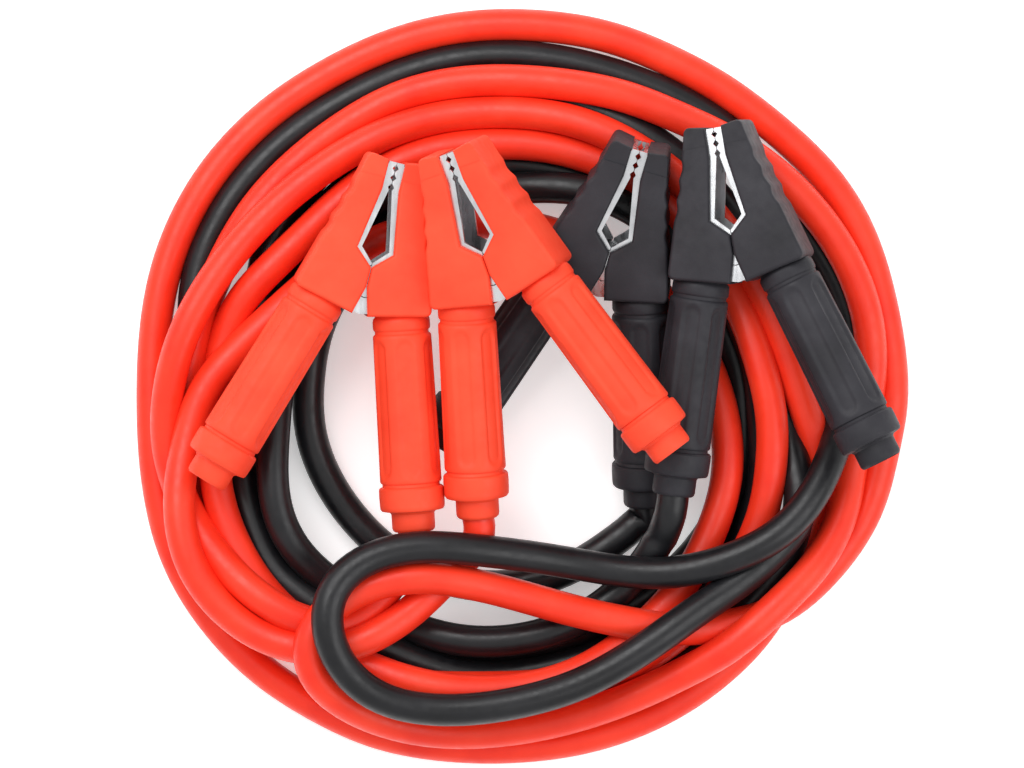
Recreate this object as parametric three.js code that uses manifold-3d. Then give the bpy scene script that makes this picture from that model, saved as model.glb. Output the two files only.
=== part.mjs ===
// A set of car jumper cables lying coiled: a red and a black cable with a spring clamp on both ends.
// Millimetres, +Z up. The origin is under the middle of the four clamps, on the level of the lowest.

import * as THREE from "three";
import { mergeVertices } from "three/addons/utils/BufferGeometryUtils.js";
import Module from "manifold-3d";

const wasm = await Module();
wasm.setup();

// Cable
const CABLE_DIAMETER = 14;
const CABLE_RADIUS = CABLE_DIAMETER / 2;
const CABLE_SIDES = 10;
const TOUCH_GAP = 0.3;
const PACK_PITCH = CABLE_DIAMETER + TOUCH_GAP;

// Coil: the middle radius of the outermost turn, and how far each stacked turn leans outwards
const COIL_OUTER_TURN = 158;
const COIL_SEGMENTS = 30;
const TURN_PROFILE_POINTS = 10;
const STACK_PROFILE_POINTS = 16;
const STACK_LEAN = 2;
const NECK_BETWEEN_TURNS = 2.5;

// Clamp half, seen from the side: X across the clamp, Y towards the tips, hinge at the origin
const HEAD_THICKNESS = 28;
const COVER_WALL = 2.7;
const JAW_CLEARANCE = 0.3;
const MEETING_GAP = 0.3;
const TIP_INNER = [3.6, 56.8];
const TIP_OUTER = [12.5, 58.3];
const SHOULDER = [14.6, 48.8];
const HEAD_CORNER = [30.4, -4.2];
const MEETING_LINE_END = 1.5;
const POCKET_OVERRUN = 1;
const POCKET_CORNER_EASE = 1.4;
const HANDLE_RELIEF_ANGLE = 15;
const HEAD_INNER_CORNER_DROP = 12.8;

// Kite opening between the two jaws, metal edge
const KITE_TOP = [0.7, 44];
const KITE_CORNER = [6, 18];
const KITE_BOTTOM = 12;
const METAL_EDGE = 1.9;

// Scalloped finger grip along the outer edge of the head
const SCALLOP_COUNT = 3;
const SCALLOP_PITCH = 8.6;
const SCALLOP_START = 41;
const SCALLOP_RADIUS = 9;
const SCALLOP_DEPTH = 0.9;
const SCALLOP_SIDES = 18;

// Handle, measured along its own axis from the neck
const NECK = [18.5, -8];
const HANDLE_ANGLE = 17.5;
const NECK_WIDTH = 24.4;
const RING_LENGTH = 5.5;
const GROOVE_LENGTH = 1.4;
const GROOVE_DEPTH = 0.6;
const GRIP_LENGTH = 64.5;
const GRIP_WIDTH_TOP = 25.2;
const GRIP_WIDTH_END = 26.6;
const GRIP_THICKNESS_RATIO = 0.94;
const COLLAR_LENGTH = 10.5;
const COLLAR_WIDTH = 28;
const STUB_LENGTH = 9;
const STUB_WIDTH = 18.6;
const BORE_CLEARANCE = 0.8;
const BORE_RADIUS = CABLE_RADIUS + BORE_CLEARANCE;
const HANDLE_SIDES = 12;
const BORE_SIDES = 12;
const EAR_SIDES = 14;

// Long recesses between the ribs of the grip
const SLOT_COUNT = 6;
const SLOT_WIDTH = 6.6;
const SLOT_DEPTH = 0.9;
const SLOT_END_MARGIN = 3;

// Jaw plates, hinge and spring
const PLATE = 1.5;
const WEB = 1.6;
const EAR_RADIUS = 10.5;
const EAR_CLEARANCE = 0.6;
const PIN_RADIUS = 3;
const PIN_CLEARANCE = 0.4;
const PIN_SIDES = 12;
const TOOTH_ZONE_BOTTOM = 44.5;
const TOOTH_COUNT = 3;
const TOOTH_NOTCH = 1.2;
const TOOTH_TOP_GAP = 0.4;
const TIP_BLOCK_HEIGHT = 1.8;
const TIP_BLOCK_START = 1.6;
const TIP_BELOW_EDGE = 0.6;
const WEB_BEND = [20, 6];
const PLATE_INNER_CORNER = [12, -5.5];
const PLATE_NOTCH = [3, 0];
const LINK = { left: 9, right: 17, low: -3, high: 14 };
const JOGGLE = { left: 12, right: 17, low: -2, high: 13 };
const TANG_LENGTH = 30;
const TANG_BEND = 6;
const TANG_HALF_WIDTH = 5.5;
const SPRING_WIRE = 2.4;
const SPRING_MEAN_RADIUS = 6;
const SPRING_HALF_LENGTH = 4.6;
const SPRING_TURNS = 3;
const SPRING_STEPS_PER_TURN = 9;
const SPRING_SIDES = 5;
const SPRING_LEG_END = [16.1, -2.9];
const CABLE_IN_HANDLE = 36;

// Where the clamps' hinges lie, from the centre of the coil
const RED_A_HINGE = [-66.3, 41.6, 45.3];
const RED_B_HINGE = [-8.3, 47.7, 60.2];
const BLACK_A_HINGE = [37.4, 50.7, 34.54];
const BLACK_B_HINGE = [95.2, 55.2, 51.3];

// Lean turns the tips from +Y towards +X, pitch lifts the tips and roll lifts the right side.
// The cable comes in on the right (1) or on the left (-1).
const CLAMPS = [
  { name: "red_clamp_a", colour: "red", cable: 1, at: RED_A_HINGE, lean: 14, pitch: 2, roll: -6 },
  { name: "red_clamp_b", colour: "red", cable: -1, at: RED_B_HINGE, lean: -20, pitch: 4, roll: 18 },
  { name: "black_clamp_a", colour: "black", cable: 1, at: BLACK_A_HINGE, lean: 16.5, pitch: 14, roll: 0 },
  { name: "black_clamp_b", colour: "black", cable: -1, at: BLACK_B_HINGE, lean: -9.5, pitch: 0.5, roll: 14 },
];

// Colours, roughness and metalness of what the set is made of
const MATERIALS = {
  red: { color: 0xff5f41, roughness: 0.55, metalness: 0 },
  black: { color: 0x2a292e, roughness: 0.6, metalness: 0 },
  red_cable: { color: 0xf23a1e, roughness: 0.42, metalness: 0 },
  black_cable: { color: 0x1d1c20, roughness: 0.42, metalness: 0 },
  steel: { color: 0xc9ccd2, roughness: 0.28, metalness: 1 },
};

const radians = (degrees) => (degrees * Math.PI) / 180;

// Solids: a closed geometry goes into the boolean library and comes back as a geometry

function solidOf(geometry) {
  const bare = geometry.index ? geometry.toNonIndexed() : geometry.clone();
  bare.deleteAttribute("normal");
  bare.deleteAttribute("uv");
  const merged = mergeVertices(bare, 1e-4);
  const mesh = new wasm.Mesh({
    numProp: 3,
    vertProperties: new Float32Array(merged.attributes.position.array),
    triVerts: new Uint32Array(merged.index.array),
  });
  return new wasm.Manifold(mesh);
}

function geometryOf(solid) {
  const mesh = solid.getMesh();
  const geometry = new THREE.BufferGeometry();
  geometry.setAttribute("position", new THREE.BufferAttribute(mesh.vertProperties, 3));
  geometry.setIndex(new THREE.BufferAttribute(mesh.triVerts, 1));
  return geometry;
}

function joined(solids) {
  return solids.reduce((whole, solid) => whole.add(solid));
}

// A flat outline extruded along Z between two levels
function slab(points, low, high) {
  const shape = new THREE.Shape(points.map(([x, y]) => new THREE.Vector2(x, y)));
  const geometry = new THREE.ExtrudeGeometry(shape, { depth: high - low, bevelEnabled: false });
  return solidOf(geometry.translate(0, 0, low));
}

function cylinderZ(radius, low, high, sides, x = 0, y = 0) {
  const geometry = new THREE.CylinderGeometry(radius, radius, high - low, sides);
  geometry.rotateX(Math.PI / 2);
  return solidOf(geometry.translate(x, y, (low + high) / 2));
}

// A tube through points, as an extruded circle
function tube(points, radius, sides, steps) {
  const curve = new THREE.CatmullRomCurve3(points, false, "centripetal");
  const circle = new THREE.Shape();
  for (let i = 0; i < sides; i += 1) {
    const angle = (2 * Math.PI * i) / sides;
    const corner = [radius * Math.cos(angle), radius * Math.sin(angle)];
    if (i === 0) circle.moveTo(...corner);
    else circle.lineTo(...corner);
  }
  circle.closePath();
  return new THREE.ExtrudeGeometry(circle, { steps, bevelEnabled: false, extrudePath: curve });
}

// Places along the handle, as distances from the neck
const GRIP_START = RING_LENGTH + GROOVE_LENGTH;
const GRIP_END = GRIP_START + GRIP_LENGTH;
const COLLAR_START = GRIP_END + GROOVE_LENGTH;
const COLLAR_END = COLLAR_START + COLLAR_LENGTH;
const STUB_END = COLLAR_END + STUB_LENGTH;

const handleDirection = [Math.sin(radians(HANDLE_ANGLE)), -Math.cos(radians(HANDLE_ANGLE))];

// A point of the handle: along its axis, across it, and along Z
function handlePoint(along, across = 0, z = 0) {
  const [dx, dy] = handleDirection;
  return new THREE.Vector3(NECK[0] + dx * along - dy * across, NECK[1] + dy * along + dx * across, z);
}

// Turns a geometry whose axis is +Y, measured from the neck, onto the handle
function ontoHandle(geometry) {
  geometry.rotateZ(Math.PI + radians(HANDLE_ANGLE));
  return solidOf(geometry.translate(NECK[0], NECK[1], 0));
}

// A stretch of the handle with an oval section that may taper
function handleStretch(from, to, widthFrom, widthTo, ratio = GRIP_THICKNESS_RATIO) {
  const profile = [
    new THREE.Vector2(0, from),
    new THREE.Vector2(widthFrom / 2, from),
    new THREE.Vector2(widthTo / 2, to),
    new THREE.Vector2(0, to),
  ];
  const geometry = new THREE.LatheGeometry(profile, HANDLE_SIDES);
  geometry.rotateY(Math.PI / HANDLE_SIDES);
  geometry.scale(1, 1, ratio);
  return ontoHandle(geometry);
}

// Rubber cover: a hollow head, a neck ring, the ribbed grip, a collar and the cable stub

const halfMeeting = MEETING_GAP / 2;
const headInnerCorner = [
  halfMeeting + HEAD_INNER_CORNER_DROP * Math.sin(radians(HANDLE_RELIEF_ANGLE)),
  MEETING_LINE_END - HEAD_INNER_CORNER_DROP * Math.cos(radians(HANDLE_RELIEF_ANGLE)),
];

function coverOutline() {
  return [
    TIP_INNER,
    [TIP_INNER[0], KITE_TOP[1]],
    [KITE_CORNER[0] + METAL_EDGE, KITE_CORNER[1] - METAL_EDGE / 3],
    [halfMeeting, KITE_BOTTOM - METAL_EDGE],
    [halfMeeting, MEETING_LINE_END],
    headInnerCorner,
    HEAD_CORNER,
    SHOULDER,
    TIP_OUTER,
  ];
}

// The pocket leaves a wall round the outer edge and is open towards the other half
function pocketOutline() {
  const inner = -POCKET_OVERRUN;
  return [
    [inner, TIP_OUTER[1] - COVER_WALL],
    [TIP_OUTER[0] - COVER_WALL, TIP_OUTER[1] - COVER_WALL],
    [SHOULDER[0] - COVER_WALL, SHOULDER[1] - COVER_WALL],
    [HEAD_CORNER[0] - COVER_WALL * POCKET_CORNER_EASE, HEAD_CORNER[1] + COVER_WALL],
    [headInnerCorner[0] + COVER_WALL, headInnerCorner[1] + COVER_WALL],
    [inner, MEETING_LINE_END - EAR_RADIUS],
  ];
}

function coverSolid() {
  const half = HEAD_THICKNESS / 2;
  const head = slab(coverOutline(), -half, half);
  const neck = handleStretch(-4, RING_LENGTH, NECK_WIDTH, NECK_WIDTH);
  const grooveWidth = NECK_WIDTH - 2 * GROOVE_DEPTH;
  const groove = handleStretch(RING_LENGTH - 1, GRIP_START + 1, grooveWidth, grooveWidth);
  const grip = handleStretch(GRIP_START, GRIP_END, GRIP_WIDTH_TOP, GRIP_WIDTH_END);
  const endGrooveWidth = GRIP_WIDTH_END - 2 * GROOVE_DEPTH;
  const endGroove = handleStretch(GRIP_END - 1, COLLAR_START + 1, endGrooveWidth, endGrooveWidth);
  const collar = handleStretch(COLLAR_START, COLLAR_END, COLLAR_WIDTH, COLLAR_WIDTH, 1);
  const stub = handleStretch(COLLAR_END - 1, STUB_END, STUB_WIDTH, STUB_WIDTH, 1);
  let cover = joined([head, neck, groove, grip, endGroove, collar, stub]);

  const pocketHalf = half - COVER_WALL;
  cover = cover.subtract(slab(pocketOutline(), -pocketHalf, pocketHalf));
  cover = cover.subtract(cylinderZ(EAR_RADIUS + EAR_CLEARANCE, -pocketHalf, pocketHalf, EAR_SIDES));

  const boreLength = STUB_END + 12;
  const bore = new THREE.CylinderGeometry(BORE_RADIUS, BORE_RADIUS, boreLength, BORE_SIDES);
  cover = cover.subtract(ontoHandle(bore.translate(0, boreLength / 2 - 10, 0)));

  for (const slot of gripSlots()) cover = cover.subtract(slot);
  for (const scallop of scallops()) cover = cover.subtract(scallop);
  return cover;
}

function gripSlots() {
  const slots = [];
  const length = GRIP_LENGTH - 2 * SLOT_END_MARGIN;
  const middle = GRIP_START + GRIP_LENGTH / 2;
  for (let i = 0; i < SLOT_COUNT; i += 1) {
    const angle = (2 * Math.PI * (i + 0.5)) / SLOT_COUNT;
    const radius = (GRIP_WIDTH_TOP + GRIP_WIDTH_END) / 4;
    const box = new THREE.BoxGeometry(SLOT_WIDTH, length, 2 * SLOT_DEPTH);
    box.translate(0, middle, radius);
    box.rotateY(angle);
    box.scale(1, 1, GRIP_THICKNESS_RATIO);
    slots.push(ontoHandle(box));
  }
  return slots;
}

// Three shallow round hollows for the fingers along the outer edge
function scallops() {
  const dx = HEAD_CORNER[0] - SHOULDER[0];
  const dy = HEAD_CORNER[1] - SHOULDER[1];
  const slope = dx / dy;
  const outward = new THREE.Vector2(-dy, dx).normalize();
  const hollows = [];
  for (let i = 0; i < SCALLOP_COUNT; i += 1) {
    const y = SCALLOP_START - i * SCALLOP_PITCH;
    const x = SHOULDER[0] + (y - SHOULDER[1]) * slope;
    const away = SCALLOP_RADIUS - SCALLOP_DEPTH;
    const half = HEAD_THICKNESS / 2;
    const middle = [x + outward.x * away, y + outward.y * away];
    hollows.push(cylinderZ(SCALLOP_RADIUS, -half - 1, half + 1, SCALLOP_SIDES, ...middle));
  }
  return hollows;
}

// Jaw: two side plates with the kite edge and the teeth, an outer web and a tang in the grip

const plateOuter = HEAD_THICKNESS / 2 - COVER_WALL - JAW_CLEARANCE;
const outerEarLevel = [plateOuter - PLATE, plateOuter];
const innerEarLevel = [plateOuter - 2 * PLATE - TOUCH_GAP, plateOuter - PLATE - TOUCH_GAP];

function toothedEdge() {
  const points = [];
  const pitch = (TIP_INNER[1] - TOOTH_ZONE_BOTTOM) / TOOTH_COUNT;
  for (let i = 0; i < TOOTH_COUNT; i += 1) {
    const low = TOOTH_ZONE_BOTTOM + i * pitch;
    points.push([halfMeeting + TOOTH_NOTCH, low + pitch * 0.2]);
    points.push([halfMeeting, low + pitch * 0.6]);
    points.push([halfMeeting, low + pitch * 0.85]);
  }
  return points;
}

function jawOutline() {
  const wallGap = COVER_WALL + JAW_CLEARANCE;
  return [
    [KITE_TOP[0], KITE_TOP[1]],
    ...toothedEdge(),
    [halfMeeting + TOOTH_TOP_GAP, TIP_INNER[1] - TIP_BELOW_EDGE],
    [TIP_INNER[0] - JAW_CLEARANCE, TIP_INNER[1] - TIP_BELOW_EDGE],
    [TIP_INNER[0] - JAW_CLEARANCE, TIP_OUTER[1] - wallGap],
    [TIP_OUTER[0] - wallGap, TIP_OUTER[1] - wallGap],
    [SHOULDER[0] - wallGap, SHOULDER[1] - wallGap],
    [HEAD_CORNER[0] - wallGap * 1.5 - 1, HEAD_CORNER[1] + wallGap + 1],
    PLATE_INNER_CORNER,
    PLATE_NOTCH,
    [halfMeeting, MEETING_LINE_END],
    [halfMeeting, KITE_BOTTOM],
    [KITE_CORNER[0], KITE_CORNER[1]],
  ];
}

function rectangle({ left, right, low, high }) {
  return [[left, low], [right, low], [right, high], [left, high]];
}

// The web runs inside the outer wall and turns into the tang on the handle's axis
function webOutline(fromTip) {
  const top = [TIP_OUTER[0] - COVER_WALL - 3, SHOULDER[1] - 1];
  const neckPoint = handlePoint(-TANG_BEND).toArray().slice(0, 2);
  const end = handlePoint(TANG_LENGTH).toArray().slice(0, 2);
  const line = fromTip ? [top, WEB_BEND, neckPoint] : [neckPoint, end];
  const side = line.map(([x, y]) => [x + WEB, y]).reverse();
  return [...line, ...side];
}

function jawSolid(level, otherLevel) {
  const sides = [];
  for (const mirror of [1, -1]) {
    const [low, high] = mirror > 0 ? outerEarLevel : [-outerEarLevel[1], -outerEarLevel[0]];
    let plate = slab(jawOutline(), low, high);
    const [earLow, earHigh] = mirror > 0 ? level : [-level[1], -level[0]];
    let ear = cylinderZ(EAR_RADIUS, earLow, earHigh, EAR_SIDES);
    if (level !== outerEarLevel) {
      plate = plate.subtract(cylinderZ(EAR_RADIUS + EAR_CLEARANCE, low - 1, high + 1, EAR_SIDES));
      const bridgeLow = mirror > 0 ? level[0] : -outerEarLevel[1];
      const bridgeHigh = mirror > 0 ? outerEarLevel[1] : -level[0];
      const link = slab(rectangle(LINK), earLow, earHigh);
      const joggle = slab(rectangle(JOGGLE), bridgeLow, bridgeHigh);
      ear = ear.add(link).add(joggle);
    }
    sides.push(plate, ear);
  }
  const webHalf = outerEarLevel[0] + 0.2;
  sides.push(slab(webOutline(true), -webHalf, webHalf));
  sides.push(slab(webOutline(false), -TANG_HALF_WIDTH, TANG_HALF_WIDTH));
  const tipTop = TIP_INNER[1] - TIP_BELOW_EDGE;
  const tipBlock = {
    left: TIP_BLOCK_START,
    right: TIP_INNER[0] - JAW_CLEARANCE,
    low: tipTop - TIP_BLOCK_HEIGHT,
    high: tipTop,
  };
  sides.push(slab(rectangle(tipBlock), -webHalf, webHalf));
  let jaw = joined(sides);
  const hole = PIN_RADIUS + PIN_CLEARANCE;
  jaw = jaw.subtract(cylinderZ(hole, -HEAD_THICKNESS / 2, HEAD_THICKNESS / 2, PIN_SIDES));
  return jaw;
}

// Torsion spring: two legs against the jaws and a coil round the pin, wound from the bottom
function springGeometry() {
  const [legX, legY] = SPRING_LEG_END;
  const steps = SPRING_TURNS * SPRING_STEPS_PER_TURN;
  const points = [new THREE.Vector3(-legX, legY, -SPRING_HALF_LENGTH)];
  for (let i = 0; i <= steps; i += 1) {
    const angle = radians(-90 + (360 * SPRING_TURNS * i) / steps);
    const z = -SPRING_HALF_LENGTH + (2 * SPRING_HALF_LENGTH * i) / steps;
    const [x, y] = [SPRING_MEAN_RADIUS * Math.cos(angle), SPRING_MEAN_RADIUS * Math.sin(angle)];
    points.push(new THREE.Vector3(x, y, z));
  }
  points.push(new THREE.Vector3(legX, legY, SPRING_HALF_LENGTH));
  return tube(points, SPRING_WIRE / 2, SPRING_SIDES, steps + 4);
}

// Assembly

const assembly = new THREE.Group();
const coilCentred = new THREE.Group();
assembly.add(coilCentred);

function material(name) {
  return new THREE.MeshStandardMaterial(MATERIALS[name]);
}

function part(name, geometry, materialName) {
  const mesh = new THREE.Mesh(geometry, material(materialName));
  mesh.name = name;
  return mesh;
}

const coverGeometry = geometryOf(coverSolid());
const cableJawGeometry = geometryOf(jawSolid(outerEarLevel));
const freeJawGeometry = geometryOf(jawSolid(innerEarLevel));
const pinGeometry = new THREE.CylinderGeometry(PIN_RADIUS, PIN_RADIUS, 2 * plateOuter, PIN_SIDES);
pinGeometry.rotateX(Math.PI / 2);

function clampGroup(placement) {
  const { name, colour, cable, at, lean, pitch, roll } = placement;
  const clamp = new THREE.Group();
  clamp.position.set(...at);
  clamp.rotation.set(radians(pitch), -radians(roll), -radians(lean), "ZXY");
  const cableHalf = new THREE.Group();
  const freeHalf = new THREE.Group();
  (cable > 0 ? freeHalf : cableHalf).rotation.y = Math.PI;
  cableHalf.add(part(`${name}_cable_cover`, coverGeometry, colour));
  cableHalf.add(part(`${name}_cable_jaw`, cableJawGeometry, "steel"));
  freeHalf.add(part(`${name}_free_cover`, coverGeometry, colour));
  freeHalf.add(part(`${name}_free_jaw`, freeJawGeometry, "steel"));
  clamp.add(cableHalf, freeHalf);
  clamp.add(part(`${name}_hinge_pin`, pinGeometry, "steel"));
  clamp.add(part(`${name}_spring`, springGeometry(), "steel"));
  clamp.userData.cableHalf = cableHalf;
  return clamp;
}

const clampsGroup = new THREE.Group();
const clamps = {};
for (const placement of CLAMPS) {
  const clamp = clampGroup(placement);
  clamps[placement.name] = clamp;
  clampsGroup.add(clamp);
}
coilCentred.add(clampsGroup);

// Coil: each group of neighbouring turns of one colour is one turned solid

function turnsOutline(turns) {
  const middle = new THREE.Vector2();
  for (const [radius, height] of turns) middle.add(new THREE.Vector2(radius, height));
  middle.divideScalar(turns.length);
  const outline = [];
  const count = turns.length > 1 ? STACK_PROFILE_POINTS : TURN_PROFILE_POINTS;
  for (let i = 0; i < count; i += 1) {
    const angle = (2 * Math.PI * i) / count;
    const ray = new THREE.Vector2(Math.cos(angle), Math.sin(angle));
    let reach = NECK_BETWEEN_TURNS;
    for (const [radius, height] of turns) {
      const toTurn = new THREE.Vector2(radius, height).sub(middle);
      const along = toTurn.dot(ray);
      const across = toTurn.cross(ray);
      const inside = CABLE_RADIUS ** 2 - across ** 2;
      if (inside >= 0) reach = Math.max(reach, along + Math.sqrt(inside));
    }
    outline.push(middle.clone().addScaledVector(ray, reach));
  }
  outline.push(outline[0].clone());
  return outline;
}

function coilSolid(name, turns, materialName) {
  const geometry = new THREE.LatheGeometry(turnsOutline(turns), COIL_SEGMENTS);
  geometry.rotateX(Math.PI / 2);
  return part(name, geometry, materialName);
}

const floorTurn = (index) => [COIL_OUTER_TURN - index * PACK_PITCH, CABLE_RADIUS];
const stackedTurn = (index) => [floorTurn(index)[0] + STACK_LEAN, CABLE_RADIUS + PACK_PITCH - 0.2];
const nestedTurn = (index) => [
  floorTurn(index)[0] - PACK_PITCH / 2,
  CABLE_RADIUS + PACK_PITCH * Math.sin(radians(60)),
];

coilCentred.add(coilSolid("red_coil_outer", [floorTurn(0)], "red_cable"));
coilCentred.add(coilSolid("black_coil_outer", [floorTurn(1), stackedTurn(1)], "black_cable"));
coilCentred.add(coilSolid("red_coil_inner", [floorTurn(2), floorTurn(3), nestedTurn(2)], "red_cable"));
coilCentred.add(coilSolid("black_coil_inner", [floorTurn(4), stackedTurn(4)], "black_cable"));

const COIL_INNER_FACE = (floorTurn(4)[0] - CABLE_RADIUS) * Math.cos(Math.PI / COIL_SEGMENTS);
const COIL_TOP = stackedTurn(1)[1] + CABLE_RADIUS;

// Cable tails: out of each clamp's cable handle to the inner face of the coil.
// Each ends square to the coil at this bearing from +X and this height.
const TAIL_ENDS = {
  red_clamp_a: { bearing: 236, height: 19 },
  red_clamp_b: { bearing: 250, height: 13 },
  black_clamp_a: { bearing: 286, height: 9 },
  black_clamp_b: { bearing: 309, height: 22 },
};
const TAIL_STRAIGHT = 6;
const TAIL_STEPS = 9;

coilCentred.updateMatrixWorld(true);

function tailPoints(name) {
  const half = clamps[name].userData.cableHalf;
  const onAxis = (along) => handlePoint(along).applyMatrix4(half.matrixWorld);
  const { bearing, height } = TAIL_ENDS[name];
  const outward = new THREE.Vector3(Math.cos(radians(bearing)), Math.sin(radians(bearing)), 0);
  const face = COIL_INNER_FACE - TOUCH_GAP;
  const end = outward.clone().multiplyScalar(face).setZ(height);
  const beforeEnd = outward.clone().multiplyScalar(face - CABLE_RADIUS).setZ(height);
  const fromHandle = [STUB_END - CABLE_IN_HANDLE, STUB_END, STUB_END + TAIL_STRAIGHT];
  return [...fromHandle.map(onAxis), beforeEnd, end];
}

for (const { name, colour } of CLAMPS) {
  const tail = tube(tailPoints(name), CABLE_RADIUS, CABLE_SIDES, TAIL_STEPS);
  coilCentred.add(part(`${name}_tail`, tail, `${colour}_cable`));
}

// Bights: the folded middle of each cable, lying on top of the coil
const LOW = COIL_TOP + TOUCH_GAP + CABLE_RADIUS * Math.cos(Math.PI / CABLE_SIDES);
const HIGH = LOW + PACK_PITCH;
const RED_BIGHT = [
  [83.5, -106.5, LOW], [53.5, -105, LOW], [18, -97.5, LOW + 1], [-16.5, -86, LOW + 5], [-45, -82, LOW + 4],
  [-73, -89, LOW], [-93, -106, LOW], [-92.5, -123.5, LOW], [-73, -142, LOW], [-42.5, -151.5, LOW],
  [1, -151.5, LOW], [44.5, -139, LOW], [79, -122, LOW],
];
const BLACK_BIGHT = [
  [126, -52, LOW], [115, -65, LOW], [88, -79, LOW + 2], [53.5, -82.5, LOW + 5], [18, -76.5, LOW + 10],
  [-16.5, -71, HIGH + 4], [-45, -70, HIGH + 2], [-73, -76, HIGH], [-85, -93, HIGH], [-86, -106, HIGH],
  [-79.5, -121.5, HIGH], [-64.5, -136.5, HIGH], [-35.5, -142.5, HIGH], [1, -139, HIGH],
  [30, -130.5, HIGH], [65, -108.5, HIGH],
];
const BIGHT_STEPS = 22;

function bight(name, points, materialName) {
  const curve = points.map((point) => new THREE.Vector3(...point));
  return part(name, tube(curve, CABLE_RADIUS, CABLE_SIDES, BIGHT_STEPS), materialName);
}

coilCentred.add(bight("red_bight", RED_BIGHT, "red_cable"));
coilCentred.add(bight("black_bight", BLACK_BIGHT, "black_cable"));

// The clamps' own box sets the origin: under its middle, on the level of its lowest point
const clampsBox = new THREE.Box3().setFromObject(clampsGroup, true);
const middle = clampsBox.getCenter(new THREE.Vector3());
coilCentred.position.set(-middle.x, -middle.y, -clampsBox.min.z);

export default assembly;
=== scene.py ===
"""Looks of a coiled pair of car jumper cables, a red and a black one, with four spring clamps."""

import math

import bmesh
import bpy
import numpy as np
from mathutils import Matrix, Vector


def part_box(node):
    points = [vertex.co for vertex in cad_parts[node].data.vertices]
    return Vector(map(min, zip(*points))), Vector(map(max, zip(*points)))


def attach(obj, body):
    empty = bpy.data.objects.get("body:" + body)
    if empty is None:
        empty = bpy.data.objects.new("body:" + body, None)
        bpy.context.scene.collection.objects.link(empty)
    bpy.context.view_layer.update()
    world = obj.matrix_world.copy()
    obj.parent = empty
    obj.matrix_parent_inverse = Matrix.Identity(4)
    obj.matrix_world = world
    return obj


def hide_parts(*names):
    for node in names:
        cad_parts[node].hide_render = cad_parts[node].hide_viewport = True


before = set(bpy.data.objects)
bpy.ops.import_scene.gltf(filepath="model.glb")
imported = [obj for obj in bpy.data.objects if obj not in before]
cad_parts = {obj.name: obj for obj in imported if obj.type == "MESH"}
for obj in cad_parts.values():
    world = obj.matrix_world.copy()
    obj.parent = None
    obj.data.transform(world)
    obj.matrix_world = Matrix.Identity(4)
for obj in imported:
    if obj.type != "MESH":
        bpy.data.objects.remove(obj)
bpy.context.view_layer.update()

MM = 0.001

# Camera: straight down, its height, lens and the point under it
CAMERA_HEIGHT = 2.6
CAMERA_LENS = 209
SENSOR = 36.0
PHOTO_SIZE = (1024, 768)
CAMERA_POINT = (-0.0135, -0.0252)
PIXELS_PER_SLOPE = CAMERA_LENS / SENSOR * PHOTO_SIZE[0]

# Cable
CABLE_DIAMETER = 0.014
CABLE_RADIUS = CABLE_DIAMETER / 2
SAMPLE_STEP = 0.004

# How the cables settle: widths are in samples, distances in metres
CONTACT = 0.0141
NEIGHBOUR_SAMPLES = 10
FIRST_SMOOTHING = (5, 3)
SECOND_SMOOTHING = 2
SETTLE_ROUNDS = 60
LEVEL_ROUNDS = 8
SETTLE_DROP = 0.0004
LEAST_LIFT = 0.003
HOLD_TO_PHOTO = 0.22
PARTING = 0.6
PARTING_SIDEWAYS = 0.5
STIFFNESS = (1.2, 1.2, 2.0)
LAST_STIFFENING = 2
FAR_APART = 1.0
LEAST_GAP = 0.00001

coil_low, coil_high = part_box("red_coil_outer")
COIL_CENTRE = Vector(((coil_low[0] + coil_high[0]) / 2, (coil_low[1] + coil_high[1]) / 2, 0))

# Clamps: hinge from the coil's centre in mm, turns in degrees, side on which the cable comes in
CLAMPS = {
    "red_clamp_a": {
        "colour": "red", "cable": 1, "at": (-66.3, 41.6, 45.3), "lean": 14, "pitch": 2, "roll": -6,
    },
    "red_clamp_b": {
        "colour": "red", "cable": -1, "at": (-8.3, 47.7, 60.2), "lean": -20, "pitch": 4, "roll": 18,
    },
    "black_clamp_a": {
        "colour": "black", "cable": 1, "at": (37.4, 50.7, 34.54), "lean": 16.5, "pitch": 14, "roll": 0,
    },
    "black_clamp_b": {
        "colour": "black", "cable": -1, "at": (95.2, 55.2, 51.3), "lean": -9.5, "pitch": 0.5, "roll": 14,
    },
}

# Clamp half in mm, as in the model: X across, Y towards the tips, hinge at the origin
HEAD_THICKNESS = 28
COVER_WALL = 2.7
HALF_MEETING = 0.15
TIP_INNER = (3.6, 56.8)
TIP_OUTER = (12.5, 58.3)
CAP_LENGTH = 9.5
CAP_STEP = 0.55
CAP_FACE_STEP = 0.45
SHOULDER = (14.6, 48.8)
HEAD_CORNER = (30.4, -4.2)
HEAD_CORNER_RUN = 3
HEAD_CORNER_DROP = 0.9
TIP_EASE_FROM = (0.6, -3)
TIP_EASE_TO = (-2.6, -0.4)
TIP_EASE_STEPS = 5
MEETING_LINE_END = 1.5
HANDLE_RELIEF_ANGLE = 15
HEAD_INNER_CORNER_DROP = 12.8
KITE_TOP = (0.7, 44)
KITE_CORNER = (6, 18)
KITE_BOTTOM = 12
METAL_EDGE = 1.9
EDGE_ROUNDING = 1.6
POCKET_OVERRUN = 1
POCKET_CORNER_EASE = 1.4
POCKET_DROP = 10.5
CUT_OVERRUN = 2
CAP_BAND_LEFT = -5
CAP_BAND_RIGHT = 25
CAP_BAND_TOP = 70
SCALLOP_COUNT = 3
SCALLOP_PITCH = 8.6
SCALLOP_START = 41
SCALLOP_DEPTH = 0.9
SCALLOP_SHARPNESS = 0.7
OUTER_EDGE_STEPS = 60
NECK = (18.5, -8)
HANDLE_ANGLE = 17.5
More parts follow.
